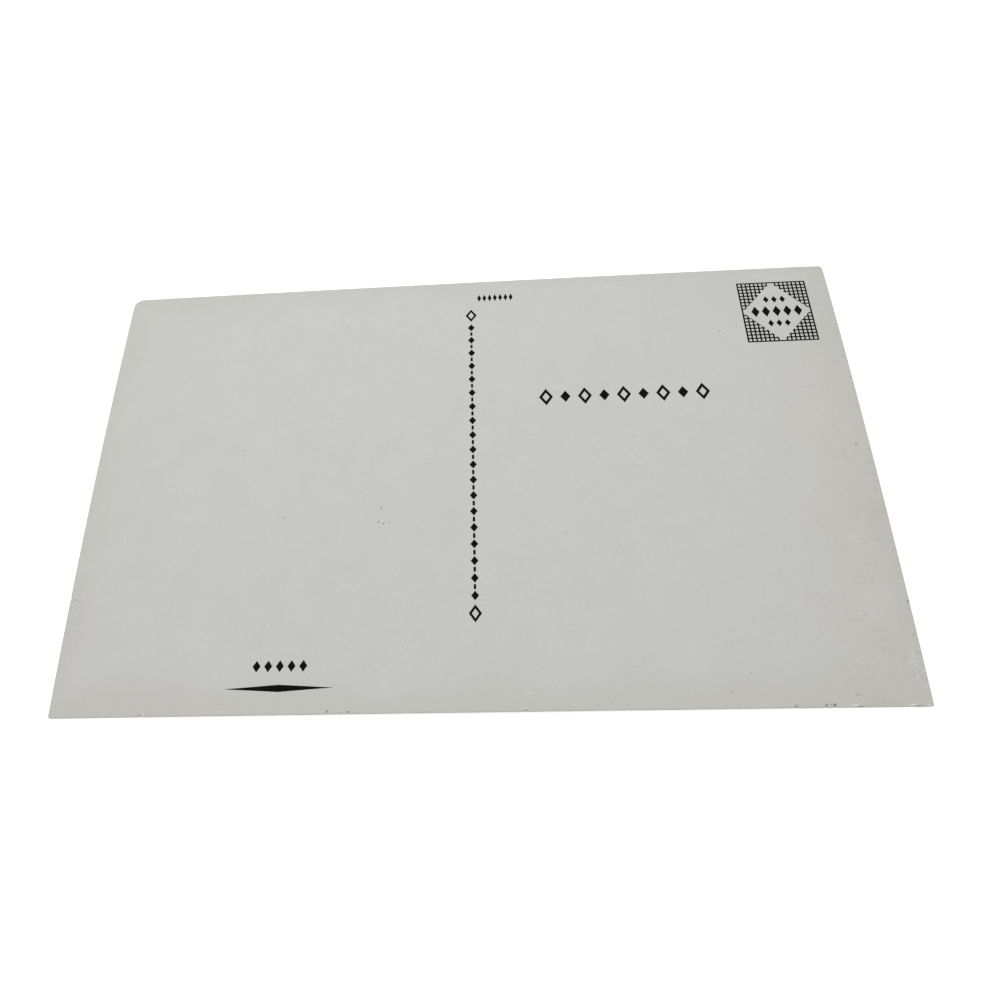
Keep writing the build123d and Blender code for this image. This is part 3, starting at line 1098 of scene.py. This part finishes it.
class POSTCARD_OT_message_ply(bpy.types.Operator):
    """Build the worn ply that the message is written on"""

    bl_idname = "postcard.message_ply"
    bl_label = "Message Ply"

    def execute(self, context):
        sheet = context.scene.postcard_sheet
        more_points = [point for marks in MARKS.values() for point in mark_points(marks)]
        piece = sheet_layer(
            "message_face",
            ["message_ply"],
            sheet,
            cut_slice=1.0,
            nick_share=1.0,
            loose=True,
            more_points=more_points,
        )
        for name, marks in MARKS.items():
            store_marks(piece, name, marks)
        finished(piece, message_finish(sheet), ["message_ply"])
        return {"FINISHED"}


class POSTCARD_OT_inner_layers(bpy.types.Operator):
    """Build the layers that show only along the cut: core, picture board and mineral coat"""

    bl_idname = "postcard.inner_layers"
    bl_label = "Inner Layers"

    def execute(self, context):
        sheet = context.scene.postcard_sheet
        for layer in INNER_LAYERS:
            piece = sheet_layer(layer.name, [layer.node], sheet, layer.cut_slice, layer.nick_share)
            finish_name = layer.slot.replace("_", " ").capitalize()
            material = board_finish(finish_name, getattr(sheet, layer.colour), layer.fibre * MM)
            finished(piece, material, [layer.node])
        return {"FINISHED"}


class POSTCARD_OT_picture_side(bpy.types.Operator):
    """Build the glossy colour print underneath"""

    bl_idname = "postcard.picture_side"
    bl_label = "Picture Side"

    def execute(self, context):
        nodes = ["picture_ink", "gloss_varnish"]
        sheet = context.scene.postcard_sheet
        piece = sheet_layer("glossy_print", nodes, sheet, cut_slice=5.0, nick_share=0.18)
        finished(piece, picture_finish(context.scene.postcard_picture), nodes)
        return {"FINISHED"}


class POSTCARD_OT_black_prints(bpy.types.Operator):
    """Build the black prints on the message side"""

    bl_idname = "postcard.black_prints"
    bl_label = "Black Prints"

    def execute(self, context):
        ink = context.scene.postcard_ink
        sheet = context.scene.postcard_sheet
        material = ink_finish(ink)
        for node in PRINTS:
            low, high = layer_radii(node)
            loops = [squeezed(loop, ink.edge_step / MM, ink.squeeze / MM) for loop in mark_outlines(node)]
            if not loops:
                raise RuntimeError(f"{node} has no upper faces to follow")
            piece = closed_sheet(f"inked_{node}", loops, [], bowed(high, sheet), bowed(low, sheet))
            finished(piece, material, [node])
        return {"FINISHED"}


class POSTCARD_OT_stage(bpy.types.Operator):
    """Build the floor, the soft light and the camera"""

    bl_idname = "postcard.stage"
    bl_label = "Stage"

    def execute(self, context):
        stage = context.scene.postcard_stage
        self.lay_floor(context, stage)
        self.light(context, stage)
        self.set_camera(context, stage)
        context.scene.view_settings.view_transform = "Standard"
        return {"FINISHED"}

    @staticmethod
    def seen_directly(wire):
        """1 for rays that show the backdrop: from the camera, a reflection or through glass."""
        rays = wire.add("ShaderNodeLightPath").outputs
        shiny = wire.math("MAXIMUM", rays["Is Glossy Ray"], rays["Is Transmission Ray"])
        return wire.math("MAXIMUM", rays["Is Camera Ray"], shiny)

    def lay_floor(self, context, stage):
        reach = stage.floor_reach
        mesh = bpy.data.meshes.new("floor")
        corners = [(-reach, -reach, 0), (reach, -reach, 0), (reach, reach, 0), (-reach, reach, 0)]
        mesh.from_pydata(corners, [], [(0, 1, 2, 3)])
        floor = bpy.data.objects.new("floor", mesh)
        context.collection.objects.link(floor)
        material, wire, shader = new_finish("Pale floor", Roughness=1.0, Specular_IOR_Level=0.0)
        shader.inputs["Base Color"].default_value = opaque(stage.floor)
        shader.inputs["Emission Color"].default_value = (1.0, 1.0, 1.0, 1.0)
        lift = wire.times(self.seen_directly(wire), stage.floor_lift)
        connect(wire, shader, Emission_Strength=lift)
        mesh.materials.append(material)

    def light(self, context, stage):
        world = bpy.data.worlds.new("Studio")
        world.use_nodes = True
        context.scene.world = world
        wire = Wiring(world.node_tree)
        background = world.node_tree.nodes["Background"]
        background.inputs["Color"].default_value = (1.0, 1.0, 1.0, 1.0)
        strength = wire.smooth(self.seen_directly(wire), to=(stage.sky, 1.0))
        connect(wire, background, Strength=strength)
        lamp = bpy.data.lights.new("window", "AREA")
        lamp.shape = "DISK"
        lamp.size = stage.window_size
        lamp.energy = stage.window
        window = bpy.data.objects.new("window", lamp)
        window.location = stage.window_place
        window.rotation_euler = (-window.location).to_track_quat("-Z", "Y").to_euler()
        window.visible_camera = False
        context.collection.objects.link(window)

    def set_camera(self, context, stage):
        lens = bpy.data.cameras.new("camera")
        lens.sensor_width = SENSOR_WIDTH
        lens.lens = stage.lens
        lens.shift_x = stage.shift
        lens.clip_start = CLIP_START
        camera = bpy.data.objects.new("camera", lens)
        context.collection.objects.link(camera)
        tilt = Matrix.Rotation(math.pi / 2 - stage.camera_down, 3, "X")
        turn = Matrix.Rotation(stage.camera_turn, 3, "Z")
        roll = Matrix.Rotation(stage.camera_roll, 3, "Z")
        camera.matrix_world = Matrix.Translation(stage.camera_place) @ (turn @ tilt @ roll).to_4x4()
        context.scene.camera = camera


class POSTCARD_PT_sidebar(bpy.types.Panel):
    """Settings and steps of the postcard"""

    bl_label = "Postcard"
    bl_idname = "POSTCARD_PT_sidebar"
    bl_space_type = "VIEW_3D"
    bl_region_type = "UI"
    bl_category = "Postcard"

    def draw(self, context):
        for step in STEPS:
            self.layout.operator(step.bl_idname)
        for name, kind in SETTINGS.items():
            box = self.layout.box()
            box.label(text=name.replace("_", " ").capitalize())
            for field in kind.__annotations__:
                box.prop(getattr(context.scene, name), field)


STEPS = (
    POSTCARD_OT_message_ply,
    POSTCARD_OT_inner_layers,
    POSTCARD_OT_picture_side,
    POSTCARD_OT_black_prints,
    POSTCARD_OT_stage,
)
SETTINGS = {
    "postcard_sheet": PostcardSheet,
    "postcard_ink": PostcardInk,
    "postcard_picture": PostcardPicture,
    "postcard_stage": PostcardStage,
}
CLASSES = (*SETTINGS.values(), *STEPS, POSTCARD_PT_sidebar)


def register():
    for item in CLASSES:
        bpy.utils.register_class(item)
    for name, kind in SETTINGS.items():
        setattr(bpy.types.Scene, name, PointerProperty(type=kind))


def unregister():
    for name in SETTINGS:
        delattr(bpy.types.Scene, name)
    for item in reversed(CLASSES):
        bpy.utils.unregister_class(item)


def main():
    register()
    bpy.ops.postcard.message_ply()
    bpy.ops.postcard.inner_layers()
    bpy.ops.postcard.picture_side()
    bpy.ops.postcard.black_prints()
    bpy.ops.postcard.stage()


if __name__ == "__main__":
    main()
